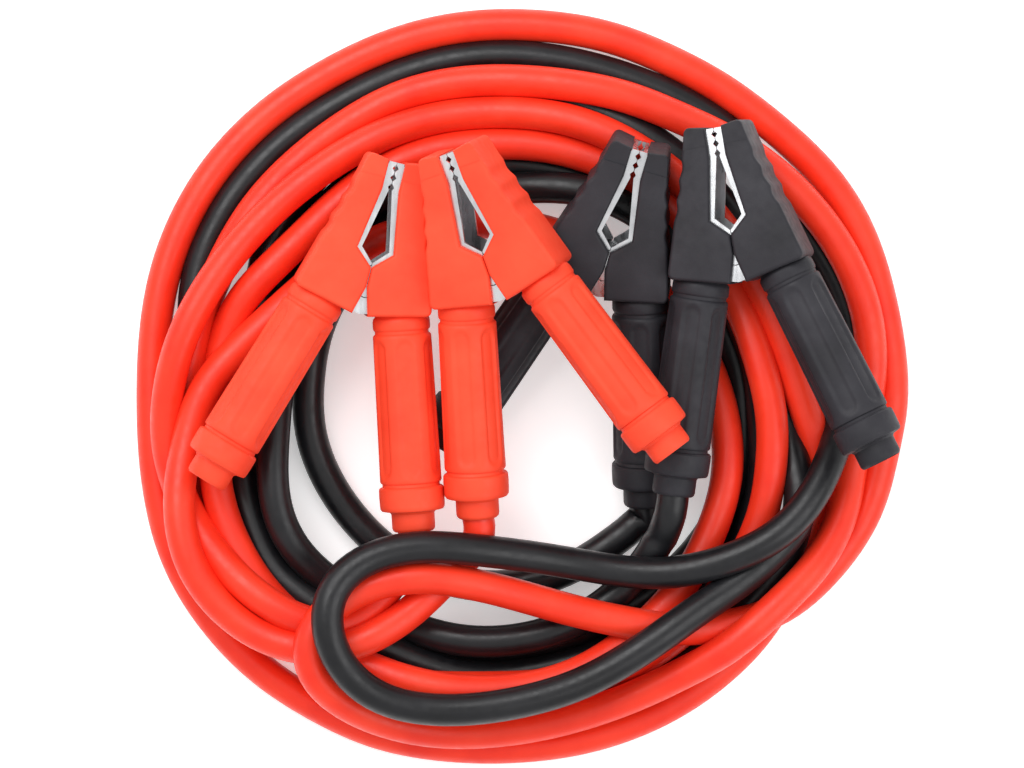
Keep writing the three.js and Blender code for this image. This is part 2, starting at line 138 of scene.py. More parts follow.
NECK_WIDTH = 24.4
NECK_INTO_HEAD = 5
RING_LENGTH = 5.5
RING_BULGE = 0.15
GROOVE_LENGTH = 1.4
GROOVE_DEPTH = 0.6
GRIP_LENGTH = 64.5
GRIP_WIDTH_TOP = 25.2
GRIP_WIDTH_END = 26.6
GRIP_THICKNESS_RATIO = 0.94
GRIP_STEPS = 56
COLLAR_LENGTH = 10.5
COLLAR_WIDTH = 28
STUB_LENGTH = 9
STUB_WIDTH = 18.6
BORE_RADIUS = 7.8
FLUTE_COUNT = 6
FLUTE_WIDTH = 7.4
FLUTE_DEPTH = 0.9
FLUTE_END_MARGIN = 3
FLUTE_SOFT_EDGE = 1.3
HANDLE_SIDES = 108
EAR_CUT_RADIUS = 11.1
EAR_CUT_SIDES = 32
CABLE_IN_HANDLE = 28
SHORT_OF_MOUTH = 6
PAST_MOUTH = 8
GRIP_START = RING_LENGTH + GROOVE_LENGTH
GRIP_END = GRIP_START + GRIP_LENGTH
COLLAR_START = GRIP_END + GROOVE_LENGTH
COLLAR_END = COLLAR_START + COLLAR_LENGTH
STUB_END = COLLAR_END + STUB_LENGTH

# Room that the clamps take over the cables: middle line in mm, then half width and half thickness in metres
HEAD_LINE = ((8, 56), (14, 0))
HANDLE_ROOM = (0.0215, 0.0135)
HEAD_ROOM = (0.0240, 0.0140)
ROOM_UNDER_CLAMP = 0.0004
NO_CEILING = 1.0

# Edges, in degrees and metres
SHARP_ANGLE = 34
BEVEL_ANGLE = 40
BEVEL_SEGMENTS = 2
JAW_EDGE = 0.00025
PIN_EDGE = 0.0003

# Floor and light
FLOOR_HALF_SIZE = 3.0
FLOOR_DROP = 0.0001
FLOOR_ROUGHNESS = 0.6
FLOOR_GLOW = 0.4
WORLD_STRENGTH = 0.75
LIGHTS = {
    "key": {"place": (-0.5, 0.7, 1.3), "size": (1.2, 0.9), "power": 16},
    "fill": {"place": (0.9, -0.3, 1.1), "size": (1.0, 1.0), "power": 7},
}


def radians(degrees):
    return math.radians(degrees)


# Camera
def make_camera():
    data = bpy.data.cameras.new("camera")
    data.lens = CAMERA_LENS
    data.sensor_width = SENSOR
    camera = bpy.data.objects.new("camera", data)
    camera.location = (*CAMERA_POINT, CAMERA_HEIGHT)
    bpy.context.collection.objects.link(camera)
    bpy.context.scene.camera = camera


make_camera()


def photo_point(px, py, height):
    """The point at this height that the photograph shows at this pixel."""
    scale = (CAMERA_HEIGHT - height) / PIXELS_PER_SLOPE
    x = CAMERA_POINT[0] + (px - PHOTO_SIZE[0] / 2) * scale
    y = CAMERA_POINT[1] + (PHOTO_SIZE[1] / 2 - py) * scale
    return (x, y, height)


# Where the clamps lie
def clamp_matrix(name):
    place = CLAMPS[name]
    spot = COIL_CENTRE + Vector(place["at"]) * MM
    turn = Matrix.Rotation(radians(-place["lean"]), 4, "Z")
    turn = turn @ Matrix.Rotation(radians(place["pitch"]), 4, "X")
    turn = turn @ Matrix.Rotation(radians(-place["roll"]), 4, "Y")
    return Matrix.Translation(spot) @ turn


def half_matrix(name, half):
    """The right half is the shape itself, the left half is turned round the clamp's long axis."""
    right = (CLAMPS[name]["cable"] > 0) == (half == "cable")
    turned = Matrix.Identity(4) if right else Matrix.Rotation(math.pi, 4, "Y")
    return clamp_matrix(name) @ turned


def handle_point(along, across=0.0, z=0.0):
    """A point of the handle in mm: along its axis from the neck, across it and along Z."""
    dx = math.sin(radians(HANDLE_ANGLE))
    dy = -math.cos(radians(HANDLE_ANGLE))
    return Vector((NECK[0] + dx * along - dy * across, NECK[1] + dy * along + dx * across, z))


def handle_place(name, half, along):
    return half_matrix(name, half) @ (handle_point(along) * MM)


# Routes of the cables: pixels of the photograph, a stretch at a time.
# A stretch with a higher rank lies on those with a lower one.
OUTER_LAP = [
    (812, 490), (800, 545), (770, 605), (725, 660), (665, 705), (595, 735), (512, 748), (440, 746),
    (372, 733), (316, 706), (262, 672), (224, 634), (188, 585), (165, 531), (157, 472), (152, 401),
    (154, 335), (162, 282), (180, 234), (201, 191), (234, 147), (277, 106), (325, 76), (375, 50),
    (430, 33), (512, 24), (604, 34), (665, 58), (726, 92), (787, 138), (833, 184), (864, 239), (882, 306),
    (890, 370),
]
RED_A_TAIL = [(391, 583), (378, 611), (356, 634), (322, 637), (283, 613)]
RED_A_LAP = [
    (248, 587), (218, 554), (191, 519), (176, 483), (169, 436), (170, 396), (177, 354), (188, 325),
    (204, 295), (227, 260), (260, 221), (299, 184), (336, 156), (379, 130), (440, 116), (512, 112),
    (558, 116), (604, 128), (660, 162), (712, 222), (752, 285), (778, 334), (795, 378), (807, 436),
]
RED_BIGHT = [
    (883, 440), (868, 520), (828, 574), (775, 614), (710, 632), (641, 627), (560, 608), (480, 584),
    (415, 573), (352, 590), (306, 630), (308, 674), (352, 712), (425, 735), (520, 732), (620, 705),
    (700, 665), (764, 618), (826, 560), (854, 500),
]
RED_SECOND_LAP = [
    (861, 440), (872, 385), (873, 330), (864, 300), (848, 260), (818, 214), (770, 167), (718, 134),
    (680, 119), (634, 101), (573, 87), (512, 80), (440, 84), (390, 102), (347, 128), (303, 160),
    (269, 191), (238, 230), (215, 275), (196, 330), (186, 400), (187, 460), (200, 520), (225, 575),
    (262, 618), (310, 652), (370, 674), (440, 684), (512, 686), (590, 676), (660, 645), (715, 600),
    (752, 548), (770, 495), (774, 440), (765, 375), (742, 305), (700, 240), (645, 188),
]
RED_INNER_LAP = [
    (579, 153), (542, 144), (481, 142), (420, 151), (375, 172), (340, 200), (310, 230), (280, 260),
    (250, 290), (230, 320), (220, 355), (213, 405), (211, 450), (217, 495), (231, 538), (257, 578),
    (300, 622), (353, 660), (429, 686), (513, 690), (575, 676), (630, 645), (675, 600), (703, 552),
    (723, 506), (732, 460), (727, 410), (706, 352), (666, 300), (612, 256),
]
RED_B_LAP = [
    (548, 229), (490, 219), (430, 222), (375, 240), (325, 270), (290, 300), (258, 328), (227, 358),
    (201, 392), (184, 436), (178, 486), (185, 542), (208, 592), (243, 627), (283, 642), (320, 647),
    (354, 641),
]
RED_B_TAIL = [(386, 628), (414, 610), (441, 586)]

BLACK_A_TAIL = [
    (636, 522), (606, 550), (565, 574), (515, 588), (460, 586), (404, 566), (368, 537), (341, 506),
]
BLACK_A_LAP = [
    (319, 467), (305, 424), (302, 377), (308, 335), (325, 295), (355, 255), (398, 219), (450, 195),
    (510, 186), (575, 186), (635, 203), (688, 243), (730, 305), (757, 372), (767, 440), (758, 500),
    (734, 555), (700, 598), (662, 626), (619, 644), (560, 665), (490, 675), (425, 665), (362, 630),
    (308, 592),
]
BLACK_THIRD_LAP = [
    (276, 566), (253, 535), (241, 495), (236, 440), (240, 385), (252, 332), (276, 280), (312, 228),
    (360, 180), (415, 146), (475, 126), (540, 122), (605, 133), (665, 166), (720, 215), (762, 280),
    (785, 350), (793, 420), (800, 485),
]
BLACK_BIGHT = [
    (797, 532), (768, 560), (721, 595), (660, 638), (590, 682), (520, 703), (436, 712), (372, 699),
    (336, 665), (320, 622), (328, 588), (360, 558), (415, 545), (480, 549), (560, 562), (641, 575),
    (721, 568), (783, 538), (815, 500), (834, 450),
]
BLACK_OUTER_LAP = [
    (848, 390), (856, 334), (838, 280), (801, 226), (758, 160), (711, 115), (665, 92), (604, 70),
    (542, 57), (481, 54), (430, 63), (368, 87), (321, 113), (277, 145), (238, 186), (212, 228),
    (196, 272), (192, 325), (203, 375), (215, 425), (222, 470), (235, 520), (257, 572), (298, 628),
    (355, 680), (430, 710), (512, 717), (600, 706), (680, 673), (740, 625), (785, 565), (808, 500),
    (810, 440),
]
BLACK_SECOND_LAP = [
    (803, 370), (780, 300), (740, 235), (690, 178), (640, 135), (580, 105), (512, 92), (440, 98),
    (380, 120), (325, 158), (290, 202), (268, 255), (260, 310), (258, 370), (258, 430), (262, 480),
    (274, 530), (300, 580), (340, 622), (400, 650), (470, 654), (545, 648), (615, 622), (678, 578),
    (722, 524), (745, 470),
]
BLACK_B_LAP = [
    (748, 410), (738, 345), (708, 285), (665, 230), (612, 190), (560, 170), (505, 165), (440, 172),
    (385, 197), (340, 235), (308, 280), (286, 330), (277, 385), (274, 436), (272, 490), (282, 531),
    (303, 565), (335, 595), (380, 620),
]
BLACK_B_TAIL = [(430, 638), (485, 644), (555, 633), (610, 603), (648, 562)]

# Cable, stretch, rank, height at which its pixels are read
RED_ROUTE = [
    (RED_A_TAIL, 9, 0.030), (RED_A_LAP, 9, 0.022), (OUTER_LAP, 0, 0.007),
    (RED_BIGHT, 11, 0.038), (RED_SECOND_LAP, 6, 0.019), (RED_INNER_LAP, 7, 0.020),
    (RED_B_LAP, 10, 0.020), (RED_B_TAIL, 10, 0.030),
]
BLACK_ROUTE = [
    (BLACK_A_TAIL, 8, 0.012), (BLACK_A_LAP, 5, 0.010), (BLACK_THIRD_LAP, 2, 0.008),
    (BLACK_BIGHT, 12, 0.050), (BLACK_OUTER_LAP, 1, 0.008), (BLACK_SECOND_LAP, 3, 0.012),
    (BLACK_B_LAP, 4, 0.010), (BLACK_B_TAIL, 8, 0.020),
]


def clamp_ends(name):
    """The cable inside a handle and the first bit outside it, from the inside out."""
    inside = (CABLE_IN_HANDLE, CABLE_IN_HANDLE / 2, SHORT_OF_MOUTH, 0, -PAST_MOUTH)
    return [handle_place(name, "cable", STUB_END - depth) for depth in inside]


def control_points(route, first, last):
    """All control points of a cable: place, rank, and whether its height is already known."""
    controls = [(tuple(point), route[0][1], True) for point in clamp_ends(first)]
    for stretch, rank, height in route:
        for px, py in stretch:
            controls.append((photo_point(px, py, height), rank, False))
    controls += [(tuple(point), route[-1][1], True) for point in reversed(clamp_ends(last))]
    return controls


def smooth_line(points):
    """Centripetal Catmull-Rom samples and for each the control point that it belongs to."""
    points = np.array(points)
    padded = np.vstack([2 * points[0] - points[1], points, 2 * points[-1] - points[-2]])
    samples = []
    owners = []
    for i in range(1, len(padded) - 2):
        p0, p1, p2, p3 = padded[i - 1:i + 3]
        t0 = 0.0
        t1 = t0 + np.linalg.norm(p1 - p0) ** 0.5
        t2 = t1 + np.linalg.norm(p2 - p1) ** 0.5
        t3 = t2 + np.linalg.norm(p3 - p2) ** 0.5
        count = max(2, int(round(np.linalg.norm(p2 - p1) / SAMPLE_STEP)))
        for k in range(count):
            t = t1 + (t2 - t1) * k / count
            a1 = (t1 - t) / (t1 - t0) * p0 + (t - t0) / (t1 - t0) * p1
            a2 = (t2 - t) / (t2 - t1) * p1 + (t - t1) / (t2 - t1) * p2
            a3 = (t3 - t) / (t3 - t2) * p2 + (t - t2) / (t3 - t2) * p3
            b1 = (t2 - t) / (t2 - t0) * a1 + (t - t0) / (t2 - t0) * a2
            b2 = (t3 - t) / (t3 - t1) * a2 + (t - t1) / (t3 - t1) * a3
            samples.append((t2 - t) / (t2 - t1) * b1 + (t - t1) / (t2 - t1) * b2)
            owners.append(i - 1 if k < count / 2 else i)
    samples.append(points[-1])
    owners.append(len(points) - 1)
    return np.array(samples), np.array(owners)


def smoothed(values, width, fixed):
    """Running weighted mean along a cable. Fixed samples keep their value."""
    reach = int(width * 2.5)
    weights = np.exp(-0.5 * (np.arange(-reach, reach + 1) / width) ** 2)
    weights /= weights.sum()
    padded = np.concatenate([np.full(reach, values[0]), values, np.full(reach, values[-1])])
    result = np.convolve(padded, weights, mode="valid")
    result[fixed] = values[fixed]
    return result


def clamp_ceiling(points):
    """How high a cable's middle may be at each point, so that it stays under the clamps."""
    ceiling = np.full(len(points), NO_CEILING)
    handle_line = (NECK, handle_point(STUB_END)[:2])
    for name in CLAMPS:
        for half in ("cable", "free"):
            matrix = np.array(half_matrix(name, half))
            for line, (half_width, half_thickness) in ((handle_line, HANDLE_ROOM), (HEAD_LINE, HEAD_ROOM)):
                start, end = [matrix @ np.array([x * MM, y * MM, 0, 1]) for x, y in line]
                axis = end[:2] - start[:2]
                reached = ((points[:, :2] - start[:2]) @ axis) / (axis @ axis)
                share = np.clip(reached, 0, 1)
                nearest = start[:2] + share[:, None] * axis
                away = np.linalg.norm(points[:, :2] - nearest, axis=1)
                middle = start[2] + share * (end[2] - start[2])
                level = middle - half_thickness - CABLE_RADIUS - ROOM_UNDER_CLAMP
                below = (away < half_width) & (reached < 1)
                ceiling = np.where(below, np.minimum(ceiling, level), ceiling)
    return np.maximum(ceiling, CABLE_RADIUS)


def settle(cables):
    """Lays the stretches down in the order of their ranks, each on what already lies there."""
    placed = []
    for rank in sorted({int(r) for cable in cables for r in cable["rank"]}):
        for number, cable in enumerate(cables):
            mine = np.where(cable["rank"] == rank)[0]
            if not len(mine):
                continue
            points = cable["points"]
            heights = np.where(cable["fixed"][mine], points[mine, 2], CABLE_RADIUS)
            for other_number, other_index in placed:
                other = cables[other_number]["points"][other_index]
                gap = np.linalg.norm(points[mine, None, :2] - other[None, :, :2], axis=2)
                if other_number == number:
                    apart = np.abs(mine[:, None] - other_index[None, :])
                    gap = np.where(apart < NEIGHBOUR_SAMPLES, FAR_APART, gap)
                over = np.sqrt(np.maximum(CONTACT ** 2 - gap ** 2, 0))
                rise = np.where(gap < CONTACT, other[None, :, 2] + over, 0)
                heights = np.where(cable["fixed"][mine], heights, np.maximum(heights, rise.max(axis=1)))
            points[mine, 2] = heights
            placed.append((number, mine))
    for cable in cables:
        points = cable["points"]
        ceiling = clamp_ceiling(points)
        for width in FIRST_SMOOTHING:
            points[:, 2] = smoothed(points[:, 2], width, cable["fixed"])
            held = np.minimum(points[:, 2], ceiling)
            points[:, 2] = np.where(cable["fixed"], points[:, 2], np.maximum(held, CABLE_RADIUS))
        points[:, 2] = smoothed(points[:, 2], SECOND_SMOOTHING, cable["fixed"])


def sink_and_part(cables):
    """Lets the pile sink under its weight while strands that would cut into each other are parted."""
    sizes = [len(cable["points"]) for cable in cables]
    everything = np.vstack([cable["points"] for cable in cables])
    drawn = everything[:, :2].copy()
    fixed = np.concatenate([cable["fixed"] for cable in cables])
    owner = np.concatenate([np.full(size, number) for number, size in enumerate(sizes)])
    rank = np.concatenate([cable["rank"] for cable in cables])
    above = np.sign(rank[:, None] - rank[None, :])
    index = np.arange(len(everything))
    neighbours = np.abs(index[:, None] - index[None, :]) < NEIGHBOUR_SAMPLES
    near = (owner[:, None] == owner[None, :]) & neighbours
    loose = ~fixed
    for turn in range(SETTLE_ROUNDS):
        if turn < SETTLE_ROUNDS - LEVEL_ROUNDS:
            everything[loose, 2] -= SETTLE_DROP
        everything[loose, :2] += HOLD_TO_PHOTO * (drawn[loose] - everything[loose, :2])
        apart = everything[:, None, :] - everything[None, :, :]
        lift = np.maximum(apart[:, :, 2] * above, LEAST_LIFT) * above
        apart[:, :, 2] = np.where(above != 0, lift, apart[:, :, 2])
        gap = np.sqrt((apart ** 2).sum(axis=2))
        gap[near] = FAR_APART
        short = np.where(gap < CONTACT, CONTACT - gap, 0)
        worst = short.argmax(axis=1)
        depth = short[index, worst] / np.maximum(gap[index, worst], LEAST_GAP)
        move = PARTING * apart[index, worst] * depth[:, None]
        move[:, :2] *= PARTING_SIDEWAYS
        everything[loose] += move[loose]
        start = 0
        for size in sizes:
            part = slice(start, start + size)
            for axis in range(3):
                everything[part, axis] = smoothed(everything[part, axis], STIFFNESS[axis], fixed[part])
            start += size
        roof = clamp_ceiling(everything)
        level = np.maximum(np.minimum(everything[:, 2], roof), CABLE_RADIUS)
        everything[:, 2] = np.where(fixed, everything[:, 2], level)
    start = 0
    for cable, size in zip(cables, sizes):
        part = slice(start, start + size)
        points = everything[part]
        for axis in range(3):
            points[:, axis] = smoothed(points[:, axis], LAST_STIFFENING * STIFFNESS[axis], cable["fixed"])
        cable["points"] = points
        start += size


def lay_cables():
    cables = []
    for colour, route in (("red", RED_ROUTE), ("black", BLACK_ROUTE)):
        controls = control_points(route, f"{colour}_clamp_a", f"{colour}_clamp_b")
        points, owners = smooth_line([place for place, _, _ in controls])
        rank = np.array([controls[i][1] for i in owners])
        fixed = np.array([controls[i][2] for i in owners])
        cables.append({"colour": colour, "points": points, "rank": rank, "fixed": fixed})
    settle(cables)
    sink_and_part(cables)
    return cables


def cable_object(cable):
    data = bpy.data.curves.new(f"{cable['colour']}_cable", "CURVE")
    data.dimensions = "3D"
    data.bevel_depth = CABLE_RADIUS
    data.bevel_resolution = 8
    data.use_fill_caps = True
    data.twist_mode = "MINIMUM"
    spline = data.splines.new("POLY")
    points = cable["points"]
    spline.points.add(len(points) - 1)
    flat = np.hstack([points, np.ones((len(points), 1))]).ravel()
    spline.points.foreach_set("co", flat)
    spline.use_smooth = True
    piece = bpy.data.objects.new(f"{cable['colour']}_cable", data)
    bpy.context.collection.objects.link(piece)
    return piece


# Materials: scales of the noise, depth of the grain in metres
CLOUD_SCALE = 42
WEAR_SCALE = 260
COVER_GRAIN = 900
CABLE_GRAIN = 500
GRAIN_STRENGTH = 0.35
GRAIN_DEPTH = 0.00012
COVER_ROUGHNESS = 0.58
COVER_SPECULAR = 0.32
SMOOTHER_BY = 0.06
ROUGHER_BY = 0.07
STEEL_ROUGHNESS = (0.2, 0.38)


def new_material(name):
    material = bpy.data.materials.new(name)
    material.use_nodes = True
    tree = material.node_tree
    return material, tree.nodes, tree.links, tree.nodes["Principled BSDF"]


def noise(nodes, links, scale, detail=4.0, stretch=(1, 1, 1)):
    coordinates = nodes.new("ShaderNodeTexCoord")
    mapping = nodes.new("ShaderNodeMapping")
    mapping.inputs["Scale"].default_value = stretch
    texture = nodes.new("ShaderNodeTexNoise")
    texture.inputs["Scale"].default_value = scale
    texture.inputs["Detail"].default_value = detail
    links.new(coordinates.outputs["Object"], mapping.inputs["Vector"])
    links.new(mapping.outputs["Vector"], texture.inputs["Vector"])
    return texture.outputs["Fac"]


def ramp(nodes, links, source, stops):
    node = nodes.new("ShaderNodeValToRGB")
    elements = node.color_ramp.elements
    while len(elements) < len(stops):
        elements.new(0.5)
    for element, (position, colour) in zip(elements, stops):
        element.position = position
        element.color = (*colour, 1)
    links.new(source, node.inputs["Fac"])
    return node.outputs["Color"]


def grey(value):
    return (value, value, value)


def bump(nodes, links, source, shader, strength, distance):
    node = nodes.new("ShaderNodeBump")
    node.inputs["Strength"].default_value = strength
    node.inputs["Distance"].default_value = distance
    links.new(source, node.inputs["Height"])
    links.new(node.outputs["Normal"], shader.inputs["Normal"])


def plastic(name, dark, base, light, roughness, grain, specular):
    """Moulded rubber or plastic: cloudy colour, fine grain, and roughness that varies a little."""
    material, nodes, links, shader = new_material(name)
    cloud = noise(nodes, links, CLOUD_SCALE)
    tint = [(0.3, dark), (0.5, base), (0.7, light)]
    links.new(ramp(nodes, links, cloud, tint), shader.inputs["Base Color"])
    wear = noise(nodes, links, WEAR_SCALE, 6)
    low = roughness - SMOOTHER_BY
    high = roughness + ROUGHER_BY
    links.new(ramp(nodes, links, wear, [(0.35, grey(low)), (0.65, grey(high))]), shader.inputs["Roughness"])
    bump(nodes, links, noise(nodes, links, grain, 2), shader, GRAIN_STRENGTH, GRAIN_DEPTH)
    shader.inputs["Specular IOR Level"].default_value = specular
    return material


def steel(name):
    """Bright zinc-plated sheet: fine rolling lines and light stains."""
    material, nodes, links, shader = new_material(name)
    shader.inputs["Metallic"].default_value = 1.0
    stain = noise(nodes, links, 90, 5)
    tint = [(0.3, (0.62, 0.63, 0.65)), (0.6, (0.82, 0.83, 0.85))]
    links.new(ramp(nodes, links, stain, tint), shader.inputs["Base Color"])
    lines = noise(nodes, links, 500, 3, (1, 0.08, 1))
    low, high = STEEL_ROUGHNESS
    links.new(ramp(nodes, links, lines, [(0.3, grey(low)), (0.7, grey(high))]), shader.inputs["Roughness"])
    bump(nodes, links, lines, shader, 0.2, 0.00008)
    return material


RED_RUBBER = plastic(
    "red_rubber", (0.84, 0.050, 0.017), (0.90, 0.062, 0.022), (0.93, 0.074, 0.028),
    COVER_ROUGHNESS, COVER_GRAIN, COVER_SPECULAR,
)
BLACK_RUBBER = plastic(
    "black_rubber", (0.014, 0.0135, 0.017), (0.020, 0.019, 0.024), (0.028, 0.027, 0.033),
    COVER_ROUGHNESS, COVER_GRAIN, COVER_SPECULAR,
)
RED_CABLE = plastic(
    "red_cable", (0.80, 0.026, 0.009), (0.87, 0.036, 0.012), (0.90, 0.046, 0.017),
    0.40, CABLE_GRAIN, 0.35,
)
BLACK_CABLE = plastic(
    "black_cable", (0.005, 0.005, 0.006), (0.0075, 0.0075, 0.009), (0.012, 0.012, 0.014),
    0.36, CABLE_GRAIN, 0.38,
)
STEEL = steel("plated_steel")
COVER_MATERIAL = {"red": RED_RUBBER, "black": BLACK_RUBBER}
CABLE_MATERIAL = {"red": RED_CABLE, "black": BLACK_CABLE}

CABLE_NODES = {
    colour: [
        f"{colour}_coil_outer", f"{colour}_coil_inner", f"{colour}_bight",
        f"{colour}_clamp_a_tail", f"{colour}_clamp_b_tail",
    ]
    for colour in ("red", "black")
}

for laid in lay_cables():
    colour = laid["colour"]
    piece = cable_object(laid)
    piece.data.materials.append(CABLE_MATERIAL[colour])
    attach(piece, "set")
    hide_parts(*CABLE_NODES[colour])


# Rubber cover, in mm in the clamp half's own frame
def head_inner_corner():
    x = HALF_MEETING + HEAD_INNER_CORNER_DROP * math.sin(radians(HANDLE_RELIEF_ANGLE))
    y = MEETING_LINE_END - HEAD_INNER_CORNER_DROP * math.cos(radians(HANDLE_RELIEF_ANGLE))
    return (x, y)


def edge_line(y):
    """X of the head's straight outer edge at this Y."""
    slope = (HEAD_CORNER[0] - SHOULDER[0]) / (HEAD_CORNER[1] - SHOULDER[1])
    return SHOULDER[0] + (y - SHOULDER[1]) * slope


def outer_edge():
    """The scalloped outer edge from the corner by the neck up to the tip."""
    points = []
    low = SCALLOP_START - (SCALLOP_COUNT - 0.5) * SCALLOP_PITCH
    high = SCALLOP_START + 0.5 * SCALLOP_PITCH
    for i in range(OUTER_EDGE_STEPS + 1):
        run = (SHOULDER[1] - HEAD_CORNER[1] - HEAD_CORNER_RUN) * i / OUTER_EDGE_STEPS
        y = HEAD_CORNER[1] + HEAD_CORNER_RUN + run
        dent = 0.0
        if low <= y <= high:
            phase = (y - low) / SCALLOP_PITCH
            dent = SCALLOP_DEPTH * (0.5 - 0.5 * math.cos(2 * math.pi * phase)) ** SCALLOP_SHARPNESS
        cap = CAP_STEP if y > TIP_OUTER[1] - CAP_LENGTH else 0.0
        points.append((edge_line(y) - dent - cap, y))
    return points


def rounded(points, corner, start, end, steps=6):
    """Adds a rounded corner from its start to its end."""
    for i in range(steps + 1):
        t = i / steps
        x = (1 - t) ** 2 * start[0] + 2 * t * (1 - t) * corner[0] + t * t * end[0]
        y = (1 - t) ** 2 * start[1] + 2 * t * (1 - t) * corner[1] + t * t * end[1]
        points.append((x, y))


def cover_outline():
    points = [
        TIP_INNER,
        (TIP_INNER[0], KITE_TOP[1]),
        (KITE_CORNER[0] + METAL_EDGE, KITE_CORNER[1] - METAL_EDGE / 3),
        (HALF_MEETING, KITE_BOTTOM - METAL_EDGE),
        (HALF_MEETING, MEETING_LINE_END),
        head_inner_corner(),
    ]
    corner_start = (HEAD_CORNER[0] - HEAD_CORNER_RUN, HEAD_CORNER[1] - HEAD_CORNER_DROP)
    edge_start = HEAD_CORNER[1] + HEAD_CORNER_RUN
    rounded(points, HEAD_CORNER, corner_start, (edge_line(edge_start), edge_start))
    points += outer_edge()[1:]
    tip_start = (TIP_OUTER[0] + TIP_EASE_FROM[0], TIP_OUTER[1] + TIP_EASE_FROM[1])
    tip_end = (TIP_OUTER[0] + TIP_EASE_TO[0], TIP_OUTER[1] + TIP_EASE_TO[1])
    rounded(points, TIP_OUTER, tip_start, tip_end, TIP_EASE_STEPS)
    return points


def inset(points, distance):
    """The outline moved inwards. It runs anticlockwise or clockwise, found from its area."""
    count = len(points)
    following = points[1:] + points[:1]
    area = sum(here[0] * after[1] - after[0] * here[1] for here, after in zip(points, following))
    sign = 1 if area > 0 else -1
    moved = []
    for i in range(count):
        before = Vector(points[i - 1])
        here = Vector(points[i])
        after = Vector(following[i])
        first = (here - before).normalized()
        second = (after - here).normalized()
        normal = Vector((-first.y - second.y, first.x + second.x)) * sign
        length = max(normal.length, 1e-6)
        normal /= length
        stretch = 1 / max(0.5, normal.dot(Vector((-first.y, first.x)) * sign))
        moved.append(here + normal * distance * stretch)
    return moved


def ring_faces(mesh, low, high):
    count = len(low)
    for i in range(count):
        mesh.faces.new((low[i], low[(i + 1) % count], high[(i + 1) % count], high[i]))


def slab_mesh(points, levels):
    """A closed slab from outlines at rising levels, each moved inwards by its own distance."""
    mesh = bmesh.new()
    rings = []
    for level, distance in levels:
        ring = inset(points, distance) if distance else [Vector(p) for p in points]
        rings.append([mesh.verts.new((p.x, p.y, level)) for p in ring])
    for low, high in zip(rings, rings[1:]):
        ring_faces(mesh, low, high)
    mesh.faces.new(list(reversed(rings[0])))
    mesh.faces.new(rings[-1])
    bmesh.ops.recalc_face_normals(mesh, faces=mesh.faces)
    return mesh


def rounded_levels(half, rounding, steps=5):
    """Levels and insets of a slab whose two faces have rounded edges."""
    angles = [math.pi / 2 * i / steps for i in range(steps + 1)]
    low = [(-half + rounding * (1 - math.cos(a)), rounding * (1 - math.sin(a))) for a in angles]
    high = [(-level, distance) for level, distance in reversed(low)]
    return low + high


def mesh_object(mesh, name):
    data = bpy.data.meshes.new(name)
    mesh.to_mesh(data)
    mesh.free()
    made = bpy.data.objects.new(name, data)
    bpy.context.collection.objects.link(made)
    return made


def cut(target, tool):
    modifier = target.modifiers.new("cut", "BOOLEAN")
    modifier.operation = "DIFFERENCE"
    modifier.solver = "EXACT"
    modifier.object = tool
    bpy.context.view_layer.objects.active = target
    bpy.ops.object.modifier_apply(modifier=modifier.name)
    bpy.data.objects.remove(tool, do_unlink=True)


def pocket_outline():
    corner = head_inner_corner()
    return [
        (-POCKET_OVERRUN, TIP_OUTER[1] - COVER_WALL),
        (TIP_OUTER[0] - COVER_WALL - CAP_STEP, TIP_OUTER[1] - COVER_WALL),
        (SHOULDER[0] - COVER_WALL, SHOULDER[1] - COVER_WALL),
        (HEAD_CORNER[0] - COVER_WALL * POCKET_CORNER_EASE, HEAD_CORNER[1] + COVER_WALL),
        (corner[0] + COVER_WALL, corner[1] + COVER_WALL),
        (-POCKET_OVERRUN, MEETING_LINE_END - POCKET_DROP),
    ]


def head_object():
    half = HEAD_THICKNESS / 2
    head = mesh_object(slab_mesh(cover_outline(), rounded_levels(half, EDGE_ROUNDING)), "head")
    pocket_half = half - COVER_WALL
    cut(head, mesh_object(slab_mesh(pocket_outline(), [(-pocket_half, 0), (pocket_half, 0)]), "pocket"))
    cap_low = TIP_OUTER[1] - CAP_LENGTH
    band = [
        (CAP_BAND_LEFT, cap_low),
        (CAP_BAND_RIGHT, cap_low),
        (CAP_BAND_RIGHT, CAP_BAND_TOP),
        (CAP_BAND_LEFT, CAP_BAND_TOP),
    ]
    step = half - CAP_FACE_STEP
    for low, high in ((step, half + CUT_OVERRUN), (-half - CUT_OVERRUN, -step)):
        cut(head, mesh_object(slab_mesh(band, [(low, 0), (high, 0)]), "cap_step"))
    angles = [2 * math.pi * i / EAR_CUT_SIDES for i in range(EAR_CUT_SIDES)]
    circle = [(EAR_CUT_RADIUS * math.cos(a), EAR_CUT_RADIUS * math.sin(a)) for a in angles]
    cut(head, mesh_object(slab_mesh(circle, [(-pocket_half, 0), (pocket_half, 0)]), "ear_room"))
    return head


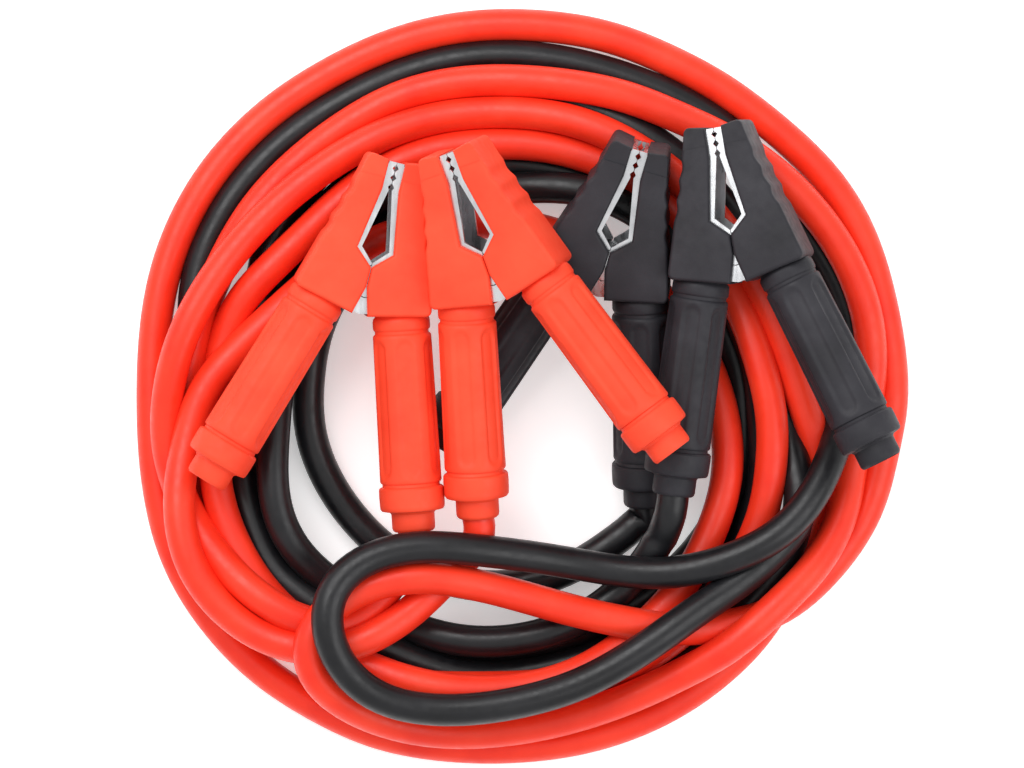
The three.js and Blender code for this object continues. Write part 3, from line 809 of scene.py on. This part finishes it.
# Handle: half width along its length, its thickness ratio, and the flutes between its ribs
def handle_profile():
    """Pairs of distance along the handle and half width from the neck to the mouth, with eased edges."""
    neck = NECK_WIDTH / 2
    top = GRIP_WIDTH_TOP / 2
    end = GRIP_WIDTH_END / 2
    collar = COLLAR_WIDTH / 2
    stub = STUB_WIDTH / 2
    ring = neck + RING_BULGE
    profile = [(-NECK_INTO_HEAD, neck - 2.0), (-1.2, neck - 1.2), (-0.6, neck - 0.9), (0, neck - 0.3)]
    profile += [(0.6, neck), (1.6, ring), (RING_LENGTH - 1.2, ring), (RING_LENGTH - 0.4, neck - 0.1)]
    profile += [(RING_LENGTH, neck - GROOVE_DEPTH), (GRIP_START - 0.1, neck - GROOVE_DEPTH)]
    profile += [(GRIP_START + 0.3, top - 0.35), (GRIP_START + 1.0, top)]
    for i in range(1, GRIP_STEPS):
        t = i / GRIP_STEPS
        profile.append((GRIP_START + 1 + (GRIP_LENGTH - 2) * t, top + (end - top) * t))
    profile += [(GRIP_END - 1, end), (GRIP_END - 0.3, end - 0.3), (GRIP_END, end - GROOVE_DEPTH - 0.3)]
    profile += [(COLLAR_START - 0.1, end - GROOVE_DEPTH - 0.3), (COLLAR_START + 0.25, collar - 0.5)]
    profile += [(COLLAR_START + 0.9, collar), (COLLAR_START + 3.6, collar + 0.1), (COLLAR_END - 2.4, collar)]
    profile += [(COLLAR_END - 1.0, collar - 0.15), (COLLAR_END - 0.25, collar - 0.7)]
    profile += [(COLLAR_END, collar - 1.8), (COLLAR_END + 0.4, stub + 0.8), (COLLAR_END + 1.3, stub)]
    profile += [(STUB_END - 1.6, stub), (STUB_END - 0.6, stub - 0.35), (STUB_END, stub - 1.0)]
    return profile


def smooth_window(value, edge):
    """1 inside, 0 outside, over a soft edge as wide as given."""
    t = min(max(value / edge + 0.5, 0), 1)
    return t * t * (3 - 2 * t)


def flute_depth_at(angle, width, along):
    """How deep the flutes cut in at this angle and distance along the handle."""
    step = 2 * math.pi / FLUTE_COUNT
    sideways = abs(angle % step - step / 2) * width
    to_end = min(along - GRIP_START, GRIP_END - along) - FLUTE_END_MARGIN
    reach = FLUTE_WIDTH / 2
    inside = reach - math.hypot(sideways, max(reach - to_end, 0))
    return FLUTE_DEPTH * smooth_window(inside, FLUTE_SOFT_EDGE)


def handle_object():
    profile = handle_profile()
    inner = [(STUB_END - 0.4, BORE_RADIUS + 0.35), (STUB_END - 1.4, BORE_RADIUS)]
    inner += [(GRIP_START + 2, BORE_RADIUS), (-NECK_INTO_HEAD, BORE_RADIUS)]
    mesh = bmesh.new()
    rings = []
    for number, (along, width) in enumerate(profile + inner):
        outside = number < len(profile)
        round_part = not outside or along > COLLAR_START - 0.2
        ratio = 1.0 if round_part else GRIP_THICKNESS_RATIO
        ring = []
        for i in range(HANDLE_SIDES):
            angle = 2 * math.pi * i / HANDLE_SIDES
            radius = width
            if outside and GRIP_START < along < GRIP_END:
                radius -= flute_depth_at(angle, width, along)
            across = radius * math.cos(angle)
            z = radius * math.sin(angle) * ratio
            ring.append(mesh.verts.new(handle_point(along, across, z)))
        rings.append(ring)
    for low, high in zip(rings, rings[1:]):
        ring_faces(mesh, low, high)
    ring_faces(mesh, rings[-1], rings[0])
    bmesh.ops.recalc_face_normals(mesh, faces=mesh.faces)
    return mesh_object(mesh, "handle")


def mark_sharp(data, limit):
    mesh = bmesh.new()
    mesh.from_mesh(data)
    for face in mesh.faces:
        face.smooth = True
    for edge in mesh.edges:
        if len(edge.link_faces) == 2:
            edge.smooth = edge.calc_face_angle(0) < radians(limit)
    mesh.to_mesh(data)
    mesh.free()


def cover_shape():
    head = head_object()
    handle = handle_object()
    for made in (head, handle):
        mark_sharp(made.data, SHARP_ANGLE)
    bpy.ops.object.select_all(action="DESELECT")
    head.select_set(True)
    handle.select_set(True)
    bpy.context.view_layer.objects.active = head
    bpy.ops.object.join()
    data = head.data
    data.transform(Matrix.Scale(MM, 4))
    bpy.context.collection.objects.unlink(head)
    return data


COVER = cover_shape()


def body_of_half(name, half):
    return f"{name}_free_half" if half == "free" else "set"


def dress_clamp(name):
    colour = CLAMPS[name]["colour"]
    for half in ("cable", "free"):
        data = COVER.copy()
        data.transform(half_matrix(name, half))
        data.materials.clear()
        data.materials.append(COVER_MATERIAL[colour])
        piece = bpy.data.objects.new(f"{name}_{half}_rubber", data)
        bpy.context.collection.objects.link(piece)
        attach(piece, body_of_half(name, half))
        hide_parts(f"{name}_{half}_cover")


for clamp in CLAMPS:
    dress_clamp(clamp)


# Metal parts keep the model's own shapes, with their edges broken
def dress_metal(node, width):
    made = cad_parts[node]
    made.data.materials.clear()
    made.data.materials.append(STEEL)
    modifier = made.modifiers.new("broken_edges", "BEVEL")
    modifier.width = width
    modifier.segments = BEVEL_SEGMENTS
    modifier.limit_method = "ANGLE"
    modifier.angle_limit = radians(BEVEL_ANGLE)


for clamp in CLAMPS:
    for part in ("cable_jaw", "free_jaw"):
        dress_metal(f"{clamp}_{part}", JAW_EDGE)
    dress_metal(f"{clamp}_hinge_pin", PIN_EDGE)
    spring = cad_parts[f"{clamp}_spring"]
    spring.data.materials.clear()
    spring.data.materials.append(STEEL)
    rounder = spring.modifiers.new("round", "SUBSURF")
    rounder.levels = 1
    rounder.render_levels = 1


def make_floor():
    size = FLOOR_HALF_SIZE
    data = bpy.data.meshes.new("floor")
    corners = [(-size, -size), (size, -size), (size, size), (-size, size)]
    data.from_pydata([(x, y, -FLOOR_DROP) for x, y in corners], [], [(0, 1, 2, 3)])
    floor = bpy.data.objects.new("floor", data)
    bpy.context.collection.objects.link(floor)
    material, nodes, links, shader = new_material("white_table")
    white = ramp(nodes, links, noise(nodes, links, 3), [(0.4, grey(0.93)), (0.6, grey(0.95))])
    links.new(white, shader.inputs["Base Color"])
    shader.inputs["Roughness"].default_value = FLOOR_ROUGHNESS
    shader.inputs["Emission Color"].default_value = (1, 1, 1, 1)
    shader.inputs["Emission Strength"].default_value = FLOOR_GLOW
    data.materials.append(material)


def area_light(name, place, size, power):
    """A light that points at the middle of the coil."""
    data = bpy.data.lights.new(name, "AREA")
    data.shape = "RECTANGLE"
    data.size = size[0]
    data.size_y = size[1]
    data.energy = power
    light = bpy.data.objects.new(name, data)
    light.location = place
    light.rotation_euler = (-Vector(place)).to_track_quat("-Z", "Y").to_euler()
    bpy.context.collection.objects.link(light)


def make_light():
    world = bpy.data.worlds.new("studio")
    bpy.context.scene.world = world
    world.use_nodes = True
    background = world.node_tree.nodes["Background"]
    background.inputs["Color"].default_value = (1, 1, 1, 1)
    background.inputs["Strength"].default_value = WORLD_STRENGTH
    for name, light in LIGHTS.items():
        area_light(name, light["place"], light["size"], light["power"])


make_floor()
make_light()
bpy.context.scene.view_settings.view_transform = "Standard"
